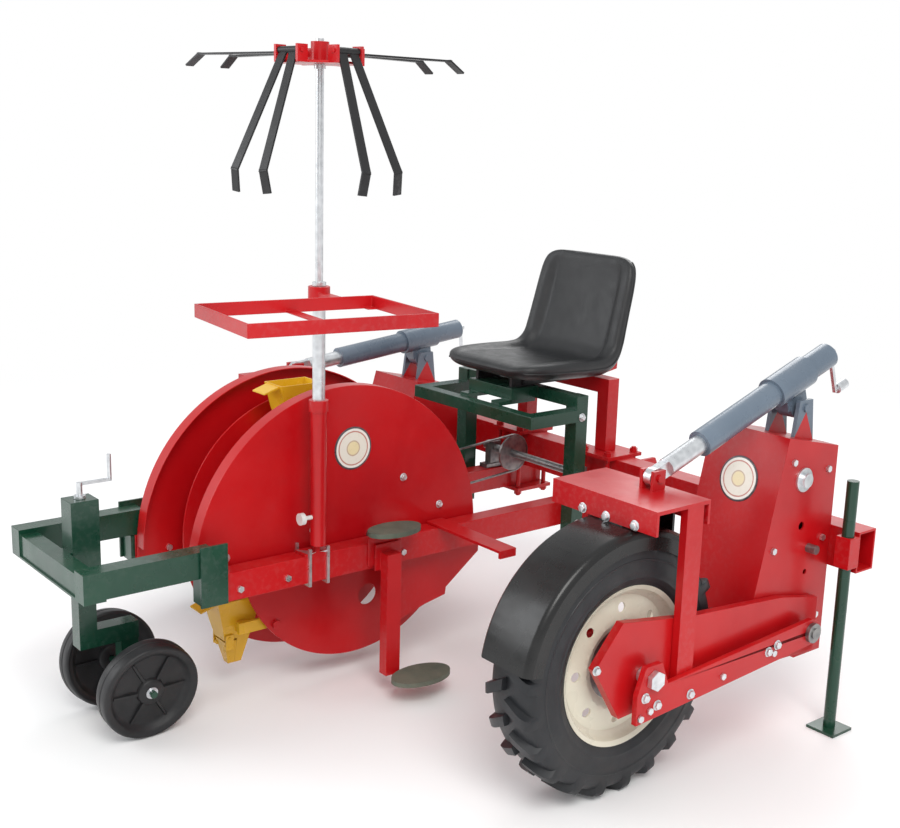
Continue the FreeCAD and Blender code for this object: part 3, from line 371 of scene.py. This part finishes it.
def hexbolt(bm, at, axis, af=0.017, head=0.0075, washer=True, shank=0.004):
    """A domed hexagon head on a washer, standing on the surface at that point."""
    x, y, z = frame_of(axis)
    o = Vector(at)
    r = af / math.sqrt(3)
    if washer:
        lathe(bm, o, axis, [(0, 0), (0, af * 0.72), (0.0012, af * 0.74), (0.0020, af * 0.70), (0.0020, 0)], 28)
    base = 0.0019
    lv = [(base, 1.0), (base + head * 0.78, 1.0), (base + head * 0.95, 0.90), (base + head, 0.74)]
    rings = [[bm.verts.new(o + z * h + (x * math.cos(t) + y * math.sin(t)) * r * k) for t in (math.pi / 3 * q for q in range(6))] for h, k in lv]
    for a, b in zip(rings, rings[1:]):
        for q in range(6):
            bm.faces.new((a[q], a[(q + 1) % 6], b[(q + 1) % 6], b[q]))
    bm.faces.new(rings[-1])
    bm.faces.new(list(reversed(rings[0])))


def rod(bm, pts, r, seg=14, caps=True):
    """A round bar along points, with mitred turns."""
    pts = [Vector(p) for p in pts]
    dirs = [(b - a).normalized() for a, b in zip(pts, pts[1:])]
    x, y, _ = frame_of(dirs[0])
    rings = []
    for i, p in enumerate(pts):
        d = dirs[min(i, len(dirs) - 1)]
        if i and i < len(pts) - 1:
            d = (dirs[i - 1] + dirs[i]).normalized()
        x = (x - d * x.dot(d)).normalized()
        y = d.cross(x)
        rings.append([bm.verts.new(p + (x * math.cos(t) + y * math.sin(t)) * r) for t in (2 * math.pi * k / seg for k in range(seg))])
    for a, b in zip(rings, rings[1:]):
        for k in range(seg):
            bm.faces.new((a[k], a[(k + 1) % seg], b[(k + 1) % seg], b[k]))
    if caps:
        bm.faces.new(list(reversed(rings[0])))
        bm.faces.new(rings[-1])


def arc_pts(c, r, a0, a1, n, u, v):
    return [Vector(c) + Vector(u) * r * math.cos(a0 + (a1 - a0) * k / n) + Vector(v) * r * math.sin(a0 + (a1 - a0) * k / n) for k in range(n + 1)]


def slab(bm, lo, hi):
    ret = bmesh.ops.create_cube(bm, size=1.0)
    for v in ret["verts"]:
        v.co = Vector([lo[i] + (hi[i] - lo[i]) * (v.co[i] + 0.5) for i in range(3)])


# ---------------------------------------------------------------- tyres
def tyre(name, body, flip):
    lo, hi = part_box(name)
    c = (lo + hi) / 2
    R, W, LUGS = (hi.z - lo.z) / 2, (hi.x - lo.x) / 2, 22
    # (side, radius of the carcass, height of a lug there)
    half = [(0.0, .333, 0), (.0035, .333, 0), (.0045, .333, .0165), (.016, .3328, .0165), (.030, .332, .0168), (.045, .330, .0180), (.058, .3265, .0195), (.066, .3235, .0190),
            (.0715, .319, .0165), (.0755, .312, .0120), (.0778, .304, .0070), (.0785, .297, .0)]
    side = [(.0795, .290), (.0800, .284), (.0812, .283), (.0812, .279), (.0803, .278), (.0808, .268), (.0810, .256), (.0802, .246), (.0785, .238), (.0792, .2365), (.0790, .2335), (.0778, .232), (.0750, .224),
            (.0715, .2175), (.0690, .214), (.0680, .2105), (.0650, .2075), (.0600, .2065)]
    inner = [(.052, .2068), (.062, .222), (.069, .262), (.066, .290), (.052, .306), (.028, .315), (0.0, .317)]
    rows = [(-x, r, h) for x, r, h in reversed(half[1:])] + [(x, r, h) for x, r, h in half]
    rows = [(-x, r, 0) for x, r in reversed(side)] + rows + [(x, r, 0) for x, r in side] + [(x, r, 0) for x, r in inner] + [(-x, r, 0) for x, r in reversed(inner[:-1])]
    fr = [0, .035, .18, .325, .36, .43, .5, .535, .68, .825, .86, .93]
    cols = [(k + f) * 2 * math.pi / LUGS for k in range(LUGS) for f in fr]
    onl = {0: 0, .035: 1, .18: 1, .325: 1, .36: 0}
    onr = {.5: 0, .535: 1, .68: 1, .825: 1, .86: 0}
    bm = bmesh.new()
    grid = []
    for x, r, h in rows:
        line = []
        for k, t in enumerate(cols):
            f = fr[k % len(fr)]
            on = (onr if x > 0 else onl).get(f, 0)
            th = t - 1.62 * min(abs(x), .0785)
            rr = min(r + h * on, R - 0.0002)
            xx = x + (math.copysign(min(h * on * 0.22, W - abs(x) - 0.0006), x) if abs(x) > .06 and h * on > 0 else 0)
            line.append(bm.verts.new(c + Vector((xx * flip, -math.cos(th) * rr, math.sin(th) * rr))))
        grid.append(line)
    n, m = len(rows), len(cols)
    for i in range(n):
        a, b = grid[i], grid[(i + 1) % n]
        for k in range(m):
            j = (k + 1) % m
            q = (a[k], a[j], b[j], b[k])
            bm.faces.new(q if flip > 0 else tuple(reversed(q)))
    bmesh.ops.recalc_face_normals(bm, faces=bm.faces)
    o = obj(name + "_tread", bm, MAT["tyre_rubber"], body)
    o.data.set_sharp_from_angle(angle=math.radians(42))
    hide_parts(name)


tyre("near_tyre", "near_wheel", 1)
tyre("far_tyre", "far_wheel", -1)


# ---------------------------------------------------------------- press wheels
def press(name, body, spin):
    lo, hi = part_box(name)
    c = (lo + hi) / 2
    j = [q for q in frame["joints"] if q["child"] == body][0]
    ax = Vector(j["axis"]).normalized()
    if ax.x * spin < 0:
        ax = -ax
    c = Vector(j.get("origin_m") or j.get("anchor_m") or c)
    h, r = 0.0318, 0.1392
    prof = [(-.024, .0106), (-.024, .034), (-.021, .037), (-.012, .040), (-.009, .052), (-.0085, .100), (-.011, .1065), (-h + .0095, .1145), (-h + .006, .1175),
            (-h + .0036, .1230), (-h + .0012, .1285), (-h + .0004, .1325), (-h + .0026, .1358), (-h + .0065, .1376), (-h + .0115, .1385), (-.012, r), (-.004, r - .0003), (-.003, r - .0016),
            (.003, r - .0016), (.004, r - .0003), (.012, r), (h - .0115, .1385), (h - .0065, .1376), (h - .0026, .1358), (h - .0004, .1325), (h - .0012, .1285),
            (h - .0036, .1230), (h - .006, .1175), (h - .0095, .1145), (.011, .1065), (.0085, .100), (.009, .052), (.012, .040), (.021, .037), (.024, .034), (.024, .0106)]
    bm = bmesh.new()
    lathe(bm, c, ax, prof, 96, closed=True)
    # shallow webs between hub and tread on both faces
    x, y, z = frame_of(ax)
    for s in (-1, 1):
        for k in range(6):
            t = math.pi / 3 * k
            d = x * math.cos(t) + y * math.sin(t)
            q = z.cross(d)
            p = [c + d * rr + q * w + z * s * zz for rr, w, zz in ((.037, -.006, .0088), (.037, .006, .0088), (.104, .004, .0085), (.104, -.004, .0085),
                                                                (.037, -.004, .0190), (.037, .004, .0190), (.104, .0025, .0130), (.104, -.0025, .0130))]
            v = [bm.verts.new(a) for a in p]
            for f in ((0, 3, 2, 1), (4, 5, 6, 7), (0, 1, 5, 4), (1, 2, 6, 5), (2, 3, 7, 6), (3, 0, 4, 7)):
                bm.faces.new([v[i] for i in f])
    bmesh.ops.recalc_face_normals(bm, faces=bm.faces)
    o = obj(name + "_moulding", bm, MAT["press_rubber"], body)
    o.data.set_sharp_from_angle(angle=math.radians(50))
    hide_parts(name)
    bm = bmesh.new()
    lathe(bm, c, ax, [(spin * 0 + .0245, 0.0), (.0245, .0165), (.0262, .0175), (.028, .0165), (.028, 0)], 40)
    hexbolt(bm, c + ax * .028, ax, .019, .010)
    obj(name + "_hub_bolt", bm, MAT["galvanised"], body, bevel=.0004)


press("near_press_wheel", "near_press_wheel", 1)
press("far_press_wheel", "far_press_wheel", -1)


# ---------------------------------------------------------------- seat
def catmull(pts, n):
    out = []
    P = [pts[0]] + pts + [pts[-1]]
    for i in range(1, len(P) - 2):
        for k in range(n):
            t = k / n
            a, b, c, d = (Vector(P[i + q]) for q in (-1, 0, 1, 2))
            out.append(0.5 * ((2 * b) + (c - a) * t + (2 * a - 5 * b + 4 * c - d) * t * t + (3 * b - a - 3 * c + d) * t ** 3))
    out.append(Vector(P[-2]))
    return out


def smooth(t):
    t = max(0.0, min(1.0, t))
    return t * t * (3 - 2 * t)


def seat():
    lo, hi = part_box("seat")
    cx, y0, y1, z1 = (lo.x + hi.x) / 2, hi.y - 0.500, hi.y, hi.z
    W = (hi.x - lo.x) / 2 - 0.0015
    # stations from the front lip up to the top of the back: y, z above, y, z below (from the box corner), half width, depth of the dish
    S = [(-.024, -.350, -.022, -.359, .58, 0), (-.015, -.337, -.013, -.369, .76, .001), (.012, -.328, .012, -.380, .89, .004), (.060, -.324, .060, -.386, .965, .009), (.135, -.323, .135, -.391, .995, .014),
         (.215, -.324, .215, -.395, 1.0, .018), (.285, -.325, .290, -.397, 1.0, .021), (.330, -.318, .345, -.396, 1.0, .023), (.360, -.292, .394, -.376, .995, .025), (.374, -.250, .426, -.328, .985, .027),
         (.388, -.200, .440, -.270, .975, .028), (.403, -.145, .454, -.205, .965, .028), (.418, -.090, .469, -.140, .955, .025), (.431, -.045, .481, -.080, .93, .016), (.441, -.018, .489, -.040, .865, .006),
         (.452, -.0035, .493, -.014, .72, .001), (.466, -.0012, .489, -.0035, .50, 0)]
    C = catmull([(a, b, 0) for a, b, *_ in S], 6)
    B = catmull([(q[2], q[3], 0) for q in S], 6)
    E = catmull([(q[4], q[5], 0) for q in S], 6)
    top = [-.90 + 1.80 * k / 44 for k in range(45)]
    rt = [(.935, .985), (.965, .945), (.986, .87), (.998, .77), (1.0, .66), (.994, .55), (.978, .44), (.95, .33), (.90, .21), (.83, .11), (.74, .045), (.62, .01), (.45, 0), (.25, 0)]
    loops = []
    bm = bmesh.new()
    for ci, bi, ei in zip(C, B, E):
        T, U = Vector((0, y0 + ci.x, z1 + ci.y)), Vector((0, y0 + bi.x, z1 + bi.y))
        n = (T - U)
        H = n.length
        n.normalize()
        w, d = W * min(ei.x, 1.0), max(ei.y, 0)
        loop = []

        def put(u, h):
            loop.append(bm.verts.new(Vector((cx + u * w, 0, 0)) + U + n * h))
        for u in top:
            dish = smooth((.84 - abs(u)) / .17)
            crown = 0.30 * d * (1 - (u / .70) ** 2) if abs(u) < .70 else 0
            put(u, H - d * dish + crown * dish)
        for u, k in rt:
            put(u, H * k)
        put(0, 0)
        for u, k in reversed(rt):
            put(-u, H * k)
        loops.append(loop)
    for a, b in zip(loops, loops[1:]):
        for k in range(len(a)):
            j = (k + 1) % len(a)
            bm.faces.new((a[k], b[k], b[j], a[j]))
    bm.faces.new(loops[0])
    bm.faces.new(list(reversed(loops[-1])))
    bmesh.ops.recalc_face_normals(bm, faces=bm.faces)
    o = obj("seat_cushion", bm, MAT["seat_vinyl"], "seat")
    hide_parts("seat")
    sub = o.modifiers.new("smooth", "SUBSURF")
    sub.levels = sub.render_levels = 1
    # welt along both edges
    for s, nm in ((1, "near"), (-1, "far")):
        pts = []
        for ci, bi, ei in list(zip(C, B, E))[8:-9]:
            T, U = Vector((0, y0 + ci.x, z1 + ci.y)), Vector((0, y0 + bi.x, z1 + bi.y))
            pts.append(Vector((cx + s * .9915 * W * min(ei.x, 1.0), 0, 0)) + U + (T - U) * .53)
        bw = bmesh.new()
        rod(bw, pts, .0030, 10)
        w = obj("seat_welt_" + nm, bw, MAT["seat_vinyl"], "seat")
    # two plates under the cushion that ride in the frame's rails
    bb = bmesh.new()
    for s in (1, -1):
        yA, yB, zb = y0 + .032, y0 + .292, lo.z
        x0, x1 = cx + s * .080, cx + s * .092
        v = [bb.verts.new((x, y, z)) for x in (x0, x1) for y, z in ((yA, zb), (yB, zb), (yB, zb + .0195), (yA, zb + .0330))]
        for f in ((0, 1, 2, 3), (7, 6, 5, 4), (0, 4, 5, 1), (1, 5, 6, 2), (2, 6, 7, 3), (3, 7, 4, 0)):
            bb.faces.new([v[i] for i in f])
        hexbolt(bb, (x1, yA + .05, zb + .013), (s, 0, 0), .013, .005)
        hexbolt(bb, (x1, yB - .05, zb + .010), (s, 0, 0), .013, .005)
    bmesh.ops.recalc_face_normals(bb, faces=bb.faces)
    obj("seat_slide_plates", bb, MAT["strap_black"], "seat", smooth=False, bevel=.0008)


seat()


# ---------------------------------------------------------------- round plates with a plain ringed pattern
def badge_mat():
    m = Mat("badge_print", rough=0.3, coat=0.4)
    at = m.n("ShaderNodeAttribute", attribute_name="ring", attribute_type="GEOMETRY").outputs["Fac"]
    jit = m.add(at, m.rng(m.noise(180, 3), -.006, .006, 0.2, 0.8))
    c = m.ramp(jit, [(0.0, (.80, .70, .42)), (.30, (.80, .70, .42)), (.31, (.55, .42, .30)), (.36, (.55, .42, .30)), (.37, (.80, .77, .68)), (.74, (.80, .77, .68)), (.75, (.52, .22, .17)), (.80, (.52, .22, .17)),
                      (.81, (.84, .82, .76)), (.91, (.84, .82, .76)), (.92, (.06, .05, .06)), (1.0, (.06, .05, .06))])
    c = m.mix(m.rng(m.noise(60, 4), 0.0, 0.2, 0.5, 0.8), c, (.6, .56, .48))
    m.colour(c)
    m.rough(m.rng(m.noise(90, 3), .25, .42, .3, .7))
    return m.m


BADGE = badge_mat()


def badge(name, at, normal, radius, body):
    bm = bmesh.new()
    x, y, z = frame_of(normal)
    o = Vector(at)
    seg, layer = 72, bm.verts.layers.float.new("ring")
    ks = [0, .15, .3, .31, .36, .37, .55, .74, .75, .80, .81, .91, .92, .985, 1.0]
    rings = []
    for k in ks:
        h = .0016 if k < .99 else .0006
        ring = []
        for q in range(seg if k else 1):
            t = 2 * math.pi * q / seg
            v = bm.verts.new(o + z * h + (x * math.cos(t) + y * math.sin(t)) * radius * k)
            v[layer] = k
            ring.append(v)
        rings.append(ring)
    low = []
    for q in range(seg):
        t = 2 * math.pi * q / seg
        v = bm.verts.new(o - z * .0004 + (x * math.cos(t) + y * math.sin(t)) * radius)
        v[layer] = 1.0
        low.append(v)
    rings.append(low)
    for a, b in zip(rings, rings[1:]):
        for q in range(seg):
            j = (q + 1) % seg
            bm.faces.new((a[0], b[q], b[j]) if len(a) == 1 else (a[q], b[q], b[j], a[j]))
    bm.faces.new(list(reversed(low)))
    obj(name, bm, BADGE, body)


gl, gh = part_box("drum_guards")
badge("guard_badge", (gh.x + .0006, -.194, .743), (1, 0, 0), .064, "root")
cl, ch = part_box("drive_casings")
# rear face of the near casing slopes from (650, 330) to (775, 870)
n_ = Vector((0, -(870 - 330), 775 - 650)).normalized()
tt = (733 - 330) / (870 - 330)
badge("casing_badge", (.868 - .035, (650 + 125 * tt) / 1000 - .2075 - .0006, .733), n_, .064, "root")


# ---------------------------------------------------------------- fasteners and small fittings
def many(name, spots, body, af=.017, head=.0075, mat="galvanised"):
    bm = bmesh.new()
    for at, ax in spots:
        hexbolt(bm, at, ax, af, head)
    obj(name, bm, MAT[mat], body, smooth=False, bevel=.0005)


EX = (1, 0, 0)
gx = gh.x
many("guard_bolts", [((gx, -.010, .628), EX), ((gx, -.612, .489), EX), ((gx, .130, .520), EX), ((gx, -.330, .520), EX)], "root")
ax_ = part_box("near_fork_arms")[1].x
many("arm_bolts", [((ax_, .149, .272), EX), ((ax_, .025, .276), EX), ((ax_, -.020, .306), EX), ((ax_, .460, .309), EX), ((ax_, .497, .320), EX)], "near_fork", .019)
px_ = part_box("seat_frame")[1].x
many("seat_post_bolts", [((px_, .612, .481), EX), ((px_, .612, .403), EX), ((px_, .612, .76), EX)], "root", .019)
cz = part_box("near_crosshead")
many("crosshead_bolts", [((.852, cz[0].y, .722), (0, -1, 0)), ((.950, cz[0].y, .724), (0, -1, 0)), ((.77, cz[0].y, .724), (0, -1, 0))], "near_fork", .019)

def second(node, *rules):
    """Gives parts of one CAD piece their own finish: each rule is a material and a test of a face's centre and normal."""
    o = NODES.get(node)
    if o is None:
        return
    for mat, test in rules:
        if mat.name not in [m.name for m in o.data.materials if m]:
            o.data.materials.append(mat)
        i = [m.name for m in o.data.materials].index(mat.name)
        faces_by(o, test, i)


second("mast_socket", (MAT["galvanised"], lambda c, n: abs(abs(c.y + .3575) - .030) < .0055 and c.z < .494), (white_plastic, lambda c, n: c.y < -.380 and abs(c.z - .584) < .02))
second("drive_casings", (MAT["jack_grey"], lambda c, n: (c.x > .5 and c.z > .874) or (c.x < -.5 and c.z > .744)))
second("far_fork", (MAT["black_plastic"], lambda c, n: abs(c.x + .847) < .089 and c.z < .7115 and math.hypot(c.y - .0075, c.z - .34835) > .29),
       (MAT["galvanised"], lambda c, n: math.hypot(c.y - .0075, c.z - .34835) < .028 and c.x < -.7))
for side_ in ("near_rim", "far_rim"):
    second(side_, (MAT["steel"], lambda c, n: math.hypot(c.y - .0075, c.z - .34835) < .078))

# chain guard bolt
many("chain_guard_bolt", [((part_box("chain_guard")[1].x, -.156, .399), EX)], "near_fork", .017)
for n, o in NODES.items():
    if n not in ("near_tyre", "far_tyre", "seat", "near_press_wheel", "far_press_wheel", "foot_pads", "wheel_chain", "drive_chains"):
        soften(o)


# ---------------------------------------------------------------- floor
def floor():
    m = Mat("studio_floor", rough=0.9, spec=0.0)
    m.colour(m.ramp(m.noise(0.8, 3), [(0.3, (.955, .957, .96)), (0.7, (.965, .966, .968))]))
    # further out the paper runs into plain white, so no horizon shows
    ln = m.n("ShaderNodeVectorMath", operation="LENGTH")
    m.l(m.co, ln.inputs[0])
    em = m.n("ShaderNodeEmission")
    em.inputs["Color"].default_value = (1, 1, 1, 1)
    em.inputs["Strength"].default_value = 1.0
    mx_ = m.n("ShaderNodeMixShader")
    m.l(m.rng(ln.outputs["Value"], 0.0, 1.0, 1.9, 5.5), mx_.inputs[0])
    m.l(m.b.outputs[0], mx_.inputs[1])
    m.l(em.outputs[0], mx_.inputs[2])
    m.l(mx_.outputs[0], m.t.nodes["Material Output"].inputs["Surface"])
    bm = bmesh.new()
    seg = 96
    lo = [bm.verts.new((40 * math.cos(2 * math.pi * k / seg), 40 * math.sin(2 * math.pi * k / seg), -.0005)) for k in range(seg)]
    bm.faces.new(lo)
    me = bpy.data.meshes.new("studio_floor")
    bm.to_mesh(me)
    bm.free()
    o = bpy.data.objects.new("studio_floor", me)
    scn.collection.objects.link(o)
    me.materials.append(m.m)


floor()
